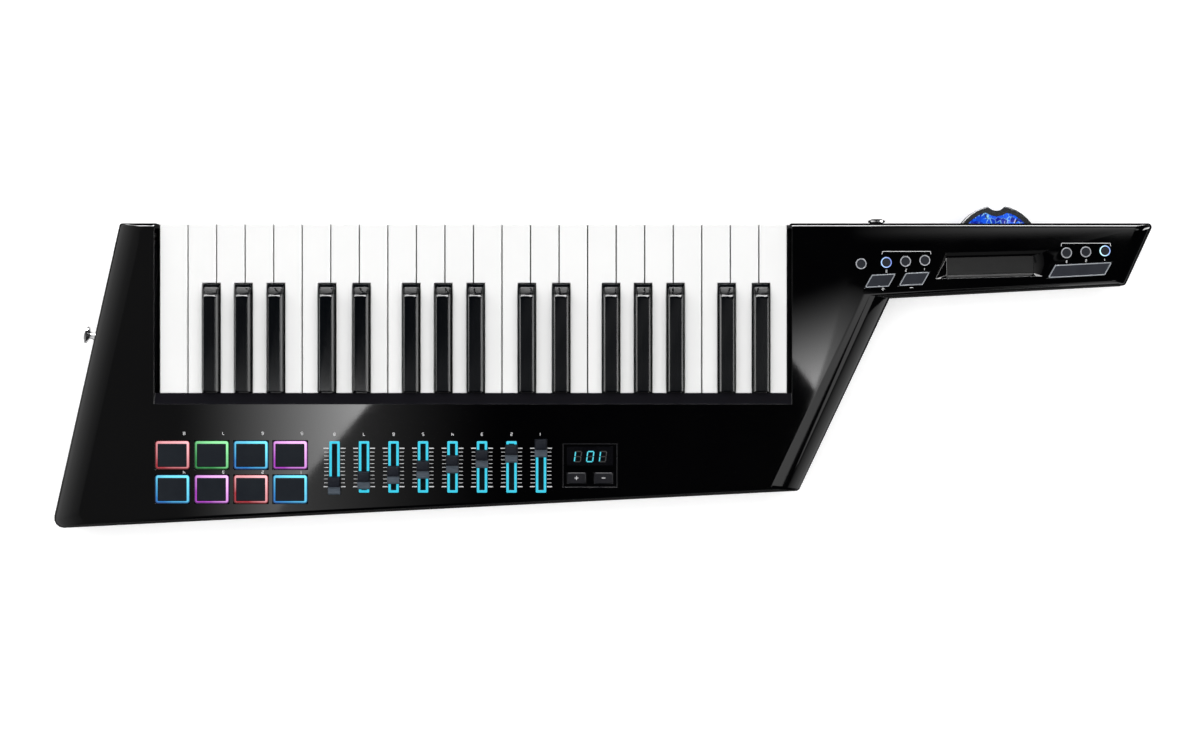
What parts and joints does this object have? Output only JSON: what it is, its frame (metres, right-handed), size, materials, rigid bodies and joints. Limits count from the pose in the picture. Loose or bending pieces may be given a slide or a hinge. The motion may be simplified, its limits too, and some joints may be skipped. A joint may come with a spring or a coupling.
{
  "type": "keytar",
  "caption": "Shoulder-strap keyboard controller: piano keys in an angular body, lit pads, faders, and a control neck with touch strip and pitch wheel.",
  "frame": {"origin": "middle of the bounding box's bottom face, on the surface that the rear feet stand on", "axes": "+X along the keys towards the neck's tip, +Y towards the key fronts, +Z out of the front panel; the instrument lies on its back"},
  "size_m": [0.9044, 0.2658, 0.0671],
  "materials": {
    "front_gloss": "piano-black gloss",
    "rear_shell": "fine matt texture",
    "chassis": "plain moulded",
    "white_key": "polished white",
    "black_key": "satin black",
    "pad_rubber": "soft matt silicone",
    "keypad_rubber": "soft matt silicone",
    "fader_cap": "satin",
    "neck_button": "satin slate",
    "preset_button": "satin silver-grey",
    "touch_strip": "semi-gloss film",
    "wheel": "lit translucent blue",
    "chrome": "polished",
    "light_cyan": "lit ring",
    "light_red": "lit ring",
    "light_green": "lit ring",
    "light_magenta": "lit ring",
    "light_blue": "lit ring",
    "print_white": "printed marks",
    "display_window": "smoked window",
    "screw_steel": "zinc-plated"
  },
  "bodies": {
    "housing": {"rear_cover": "rear_shell", "top_cover": "front_gloss", "key_chassis": "chassis", "pad_mat": "pad_rubber", "neck_button_mat": "keypad_rubber", "touch_strip": "touch_strip", "strap_pin_end": "chrome", "strap_pin_neck": "chrome"},
    "pitch_wheel": {"pitch_wheel": "wheel"},
    "octave_up_button": {"octave_up_button": "neck_button"},
    "octave_down_button": {"octave_down_button": "neck_button"},
    "sustain_button": {"sustain_button": "neck_button"},
    "preset_up_button": {"preset_up_button": "preset_button"},
    "preset_down_button": {"preset_down_button": "preset_button"},
    "fader_cap_1": {"fader_cap_1": "fader_cap"},
    "fader_cap_2": {"fader_cap_2": "fader_cap"},
    "fader_cap_3": {"fader_cap_3": "fader_cap"},
    "fader_cap_4": {"fader_cap_4": "fader_cap"},
    "fader_cap_5": {"fader_cap_5": "fader_cap"},
    "fader_cap_6": {"fader_cap_6": "fader_cap"},
    "fader_cap_7": {"fader_cap_7": "fader_cap"},
    "fader_cap_8": {"fader_cap_8": "fader_cap"},
    "battery_door": {"battery_door": "rear_shell"},
    "white_key_01": {"white_key_01": "white_key"},
    "white_key_02": {"white_key_02": "white_key"},
    "white_key_03": {"white_key_03": "white_key"},
    "white_key_04": {"white_key_04": "white_key"},
    "white_key_05": {"white_key_05": "white_key"},
    "white_key_06": {"white_key_06": "white_key"},
    "white_key_07": {"white_key_07": "white_key"},
    "white_key_08": {"white_key_08": "white_key"},
    "white_key_09": {"white_key_09": "white_key"},
    "white_key_10": {"white_key_10": "white_key"},
    "white_key_11": {"white_key_11": "white_key"},
    "white_key_12": {"white_key_12": "white_key"},
    "white_key_13": {"white_key_13": "white_key"},
    "white_key_14": {"white_key_14": "white_key"},
    "white_key_15": {"white_key_15": "white_key"},
    "white_key_16": {"white_key_16": "white_key"},
    "white_key_17": {"white_key_17": "white_key"},
    "white_key_18": {"white_key_18": "white_key"},
    "white_key_19": {"white_key_19": "white_key"},
    "white_key_20": {"white_key_20": "white_key"},
    "white_key_21": {"white_key_21": "white_key"},
    "white_key_22": {"white_key_22": "white_key"},
    "black_key_01": {"black_key_01": "black_key"},
    "black_key_02": {"black_key_02": "black_key"},
    "black_key_03": {"black_key_03": "black_key"},
    "black_key_04": {"black_key_04": "black_key"},
    "black_key_05": {"black_key_05": "black_key"},
    "black_key_06": {"black_key_06": "black_key"},
    "black_key_07": {"black_key_07": "black_key"},
    "black_key_08": {"black_key_08": "black_key"},
    "black_key_09": {"black_key_09": "black_key"},
    "black_key_10": {"black_key_10": "black_key"},
    "black_key_11": {"black_key_11": "black_key"},
    "black_key_12": {"black_key_12": "black_key"},
    "black_key_13": {"black_key_13": "black_key"},
    "black_key_14": {"black_key_14": "black_key"},
    "black_key_15": {"black_key_15": "black_key"}
  },
  "joints": [
    {"name": "pitch_wheel_turn", "type": "hinge", "parent": "housing", "child": "pitch_wheel", "pos_m": [0.32565, 0.09802, 0.034], "axis": [0, 0, 1], "range_deg": [-30, 30], "stiffness_Nm_per_rad": 0.15},
    {"name": "octave_up_press", "type": "slide", "parent": "housing", "child": "octave_up_button", "axis": [0, 0, -1], "range_m": [0, 0.0012], "stiffness_N_per_m": 400, "springref_m": -0.002},
    {"name": "octave_down_press", "type": "slide", "parent": "housing", "child": "octave_down_button", "axis": [0, 0, -1], "range_m": [0, 0.0012], "stiffness_N_per_m": 400, "springref_m": -0.002},
    {"name": "sustain_press", "type": "slide", "parent": "housing", "child": "sustain_button", "axis": [0, 0, -1], "range_m": [0, 0.0012], "stiffness_N_per_m": 400, "springref_m": -0.002},
    {"name": "preset_up_press", "type": "slide", "parent": "housing", "child": "preset_up_button", "axis": [0, 0, -1], "range_m": [0, 0.0012], "stiffness_N_per_m": 400, "springref_m": -0.002},
    {"name": "preset_down_press", "type": "slide", "parent": "housing", "child": "preset_down_button", "axis": [0, 0, -1], "range_m": [0, 0.0012], "stiffness_N_per_m": 400, "springref_m": -0.002},
    {"name": "fader_1_slide", "type": "slide", "parent": "housing", "child": "fader_cap_1", "axis": [0, 1, 0], "range_m": [0, 0.0306]},
    {"name": "fader_2_slide", "type": "slide", "parent": "housing", "child": "fader_cap_2", "axis": [0, 1, 0], "range_m": [-0.00437, 0.02623]},
    {"name": "fader_3_slide", "type": "slide", "parent": "housing", "child": "fader_cap_3", "axis": [0, 1, 0], "range_m": [-0.00874, 0.02186]},
    {"name": "fader_4_slide", "type": "slide", "parent": "housing", "child": "fader_cap_4", "axis": [0, 1, 0], "range_m": [-0.01311, 0.01749]},
    {"name": "fader_5_slide", "type": "slide", "parent": "housing", "child": "fader_cap_5", "axis": [0, 1, 0], "range_m": [-0.01749, 0.01311]},
    {"name": "fader_6_slide", "type": "slide", "parent": "housing", "child": "fader_cap_6", "axis": [0, 1, 0], "range_m": [-0.02186, 0.00874]},
    {"name": "fader_7_slide", "type": "slide", "parent": "housing", "child": "fader_cap_7", "axis": [0, 1, 0], "range_m": [-0.02623, 0.00437]},
    {"name": "fader_8_slide", "type": "slide", "parent": "housing", "child": "fader_cap_8", "axis": [0, 1, 0], "range_m": [-0.0306, 0]},
    {"name": "battery_door_slide", "type": "slide", "parent": "housing", "child": "battery_door", "axis": [1, 0, 0], "range_m": [0, 0.008]},
    {"name": "white_key_01_press", "type": "hinge", "parent": "housing", "child": "white_key_01", "pos_m": [-0.3535, -0.04238, 0.044], "axis": [-1, 0, 0], "range_deg": [0, 3.5], "stiffness_Nm_per_rad": 0.5, "springref_deg": -8.59},
    {"name": "white_key_02_press", "type": "hinge", "parent": "housing", "child": "white_key_02", "pos_m": [-0.33, -0.04238, 0.044], "axis": [-1, 0, 0], "range_deg": [0, 3.5], "stiffness_Nm_per_rad": 0.5, "springref_deg": -8.59},
    {"name": "white_key_03_press", "type": "hinge", "parent": "housing", "child": "white_key_03", "pos_m": [-0.3065, -0.04238, 0.044], "axis": [-1, 0, 0], "range_deg": [0, 3.5], "stiffness_Nm_per_rad": 0.5, "springref_deg": -8.59},
    {"name": "white_key_04_press", "type": "hinge", "parent": "housing", "child": "white_key_04", "pos_m": [-0.283, -0.04238, 0.044], "axis": [-1, 0, 0], "range_deg": [0, 3.5], "stiffness_Nm_per_rad": 0.5, "springref_deg": -8.59},
    {"name": "white_key_05_press", "type": "hinge", "parent": "housing", "child": "white_key_05", "pos_m": [-0.2595, -0.04238, 0.044], "axis": [-1, 0, 0], "range_deg": [0, 3.5], "stiffness_Nm_per_rad": 0.5, "springref_deg": -8.59},
    {"name": "white_key_06_press", "type": "hinge", "parent": "housing", "child": "white_key_06", "pos_m": [-0.236, -0.04238, 0.044], "axis": [-1, 0, 0], "range_deg": [0, 3.5], "stiffness_Nm_per_rad": 0.5, "springref_deg": -8.59},
    {"name": "white_key_07_press", "type": "hinge", "parent": "housing", "child": "white_key_07", "pos_m": [-0.2125, -0.04238, 0.044], "axis": [-1, 0, 0], "range_deg": [0, 3.5], "stiffness_Nm_per_rad": 0.5, "springref_deg": -8.59},
    {"name": "white_key_08_press", "type": "hinge", "parent": "housing", "child": "white_key_08", "pos_m": [-0.189, -0.04238, 0.044], "axis": [-1, 0, 0], "range_deg": [0, 3.5], "stiffness_Nm_per_rad": 0.5, "springref_deg": -8.59},
    {"name": "white_key_09_press", "type": "hinge", "parent": "housing", "child": "white_key_09", "pos_m": [-0.1655, -0.04238, 0.044], "axis": [-1, 0, 0], "range_deg": [0, 3.5], "stiffness_Nm_per_rad": 0.5, "springref_deg": -8.59},
    {"name": "white_key_10_press", "type": "hinge", "parent": "housing", "child": "white_key_10", "pos_m": [-0.142, -0.04238, 0.044], "axis": [-1, 0, 0], "range_deg": [0, 3.5], "stiffness_Nm_per_rad": 0.5, "springref_deg": -8.59},
    {"name": "white_key_11_press", "type": "hinge", "parent": "housing", "child": "white_key_11", "pos_m": [-0.1185, -0.04238, 0.044], "axis": [-1, 0, 0], "range_deg": [0, 3.5], "stiffness_Nm_per_rad": 0.5, "springref_deg": -8.59},
    {"name": "white_key_12_press", "type": "hinge", "parent": "housing", "child": "white_key_12", "pos_m": [-0.095, -0.04238, 0.044], "axis": [-1, 0, 0], "range_deg": [0, 3.5], "stiffness_Nm_per_rad": 0.5, "springref_deg": -8.59},
    {"name": "white_key_13_press", "type": "hinge", "parent": "housing", "child": "white_key_13", "pos_m": [-0.0715, -0.04238, 0.044], "axis": [-1, 0, 0], "range_deg": [0, 3.5], "stiffness_Nm_per_rad": 0.5, "springref_deg": -8.59},
    {"name": "white_key_14_press", "type": "hinge", "parent": "housing", "child": "white_key_14", "pos_m": [-0.048, -0.04238, 0.044], "axis": [-1, 0, 0], "range_deg": [0, 3.5], "stiffness_Nm_per_rad": 0.5, "springref_deg": -8.59},
    {"name": "white_key_15_press", "type": "hinge", "parent": "housing", "child": "white_key_15", "pos_m": [-0.0245, -0.04238, 0.044], "axis": [-1, 0, 0], "range_deg": [0, 3.5], "stiffness_Nm_per_rad": 0.5, "springref_deg": -8.59},
    {"name": "white_key_16_press", "type": "hinge", "parent": "housing", "child": "white_key_16", "pos_m": [-0.001, -0.04238, 0.044], "axis": [-1, 0, 0], "range_deg": [0, 3.5], "stiffness_Nm_per_rad": 0.5, "springref_deg": -8.59},
    {"name": "white_key_17_press", "type": "hinge", "parent": "housing", "child": "white_key_17", "pos_m": [0.0225, -0.04238, 0.044], "axis": [-1, 0, 0], "range_deg": [0, 3.5], "stiffness_Nm_per_rad": 0.5, "springref_deg": -8.59},
    {"name": "white_key_18_press", "type": "hinge", "parent": "housing", "child": "white_key_18", "pos_m": [0.046, -0.04238, 0.044], "axis": [-1, 0, 0], "range_deg": [0, 3.5], "stiffness_Nm_per_rad": 0.5, "springref_deg": -8.59},
    {"name": "white_key_19_press", "type": "hinge", "parent": "housing", "child": "white_key_19", "pos_m": [0.0695, -0.04238, 0.044], "axis": [-1, 0, 0], "range_deg": [0, 3.5], "stiffness_Nm_per_rad": 0.5, "springref_deg": -8.59},
    {"name": "white_key_20_press", "type": "hinge", "parent": "housing", "child": "white_key_20", "pos_m": [0.093, -0.04238, 0.044], "axis": [-1, 0, 0], "range_deg": [0, 3.5], "stiffness_Nm_per_rad": 0.5, "springref_deg": -8.59},
    {"name": "white_key_21_press", "type": "hinge", "parent": "housing", "child": "white_key_21", "pos_m": [0.1165, -0.04238, 0.044], "axis": [-1, 0, 0], "range_deg": [0, 3.5], "stiffness_Nm_per_rad": 0.5, "springref_deg": -8.59},
    {"name": "white_key_22_press", "type": "hinge", "parent": "housing", "child": "white_key_22", "pos_m": [0.14, -0.04238, 0.044], "axis": [-1, 0, 0], "range_deg": [0, 3.5], "stiffness_Nm_per_rad": 0.5, "springref_deg": -8.59},
    {"name": "black_key_01_press", "type": "hinge", "parent": "housing", "child": "black_key_01", "pos_m": [-0.32245, -0.04238, 0.044], "axis": [-1, 0, 0], "range_deg": [0, 4], "stiffness_Nm_per_rad": 0.5, "springref_deg": -8.59},
    {"name": "black_key_02_press", "type": "hinge", "parent": "housing", "child": "black_key_02", "pos_m": [-0.29605, -0.04238, 0.044], "axis": [-1, 0, 0], "range_deg": [0, 4], "stiffness_Nm_per_rad": 0.5, "springref_deg": -8.59},
    {"name": "black_key_03_press", "type": "hinge", "parent": "housing", "child": "black_key_03", "pos_m": [-0.26935, -0.04238, 0.044], "axis": [-1, 0, 0], "range_deg": [0, 4], "stiffness_Nm_per_rad": 0.5, "springref_deg": -8.59},
    {"name": "black_key_04_press", "type": "hinge", "parent": "housing", "child": "black_key_04", "pos_m": [-0.22725, -0.04238, 0.044], "axis": [-1, 0, 0], "range_deg": [0, 4], "stiffness_Nm_per_rad": 0.5, "springref_deg": -8.59},
    {"name": "black_key_05_press", "type": "hinge", "parent": "housing", "child": "black_key_05", "pos_m": [-0.19895, -0.04238, 0.044], "axis": [-1, 0, 0], "range_deg": [0, 4], "stiffness_Nm_per_rad": 0.5, "springref_deg": -8.59},
    {"name": "black_key_06_press", "type": "hinge", "parent": "housing", "child": "black_key_06", "pos_m": [-0.15795, -0.04238, 0.044], "axis": [-1, 0, 0], "range_deg": [0, 4], "stiffness_Nm_per_rad": 0.5, "springref_deg": -8.59},
    {"name": "black_key_07_press", "type": "hinge", "parent": "housing", "child": "black_key_07", "pos_m": [-0.13155, -0.04238, 0.044], "axis": [-1, 0, 0], "range_deg": [0, 4], "stiffness_Nm_per_rad": 0.5, "springref_deg": -8.59},
    {"name": "black_key_08_press", "type": "hinge", "parent": "housing", "child": "black_key_08", "pos_m": [-0.10485, -0.04238, 0.044], "axis": [-1, 0, 0], "range_deg": [0, 4], "stiffness_Nm_per_rad": 0.5, "springref_deg": -8.59},
    {"name": "black_key_09_press", "type": "hinge", "parent": "housing", "child": "black_key_09", "pos_m": [-0.06275, -0.04238, 0.044], "axis": [-1, 0, 0], "range_deg": [0, 4], "stiffness_Nm_per_rad": 0.5, "springref_deg": -8.59},
    {"name": "black_key_10_press", "type": "hinge", "parent": "housing", "child": "black_key_10", "pos_m": [-0.03445, -0.04238, 0.044], "axis": [-1, 0, 0], "range_deg": [0, 4], "stiffness_Nm_per_rad": 0.5, "springref_deg": -8.59},
    {"name": "black_key_11_press", "type": "hinge", "parent": "housing", "child": "black_key_11", "pos_m": [0.00655, -0.04238, 0.044], "axis": [-1, 0, 0], "range_deg": [0, 4], "stiffness_Nm_per_rad": 0.5, "springref_deg": -8.59},
    {"name": "black_key_12_press", "type": "hinge", "parent": "housing", "child": "black_key_12", "pos_m": [0.03295, -0.04238, 0.044], "axis": [-1, 0, 0], "range_deg": [0, 4], "stiffness_Nm_per_rad": 0.5, "springref_deg": -8.59},
    {"name": "black_key_13_press", "type": "hinge", "parent": "housing", "child": "black_key_13", "pos_m": [0.05965, -0.04238, 0.044], "axis": [-1, 0, 0], "range_deg": [0, 4], "stiffness_Nm_per_rad": 0.5, "springref_deg": -8.59},
    {"name": "black_key_14_press", "type": "hinge", "parent": "housing", "child": "black_key_14", "pos_m": [0.10175, -0.04238, 0.044], "axis": [-1, 0, 0], "range_deg": [0, 4], "stiffness_Nm_per_rad": 0.5, "springref_deg": -8.59},
    {"name": "black_key_15_press", "type": "hinge", "parent": "housing", "child": "black_key_15", "pos_m": [0.13005, -0.04238, 0.044], "axis": [-1, 0, 0], "range_deg": [0, 4], "stiffness_Nm_per_rad": 0.5, "springref_deg": -8.59}
  ]
}
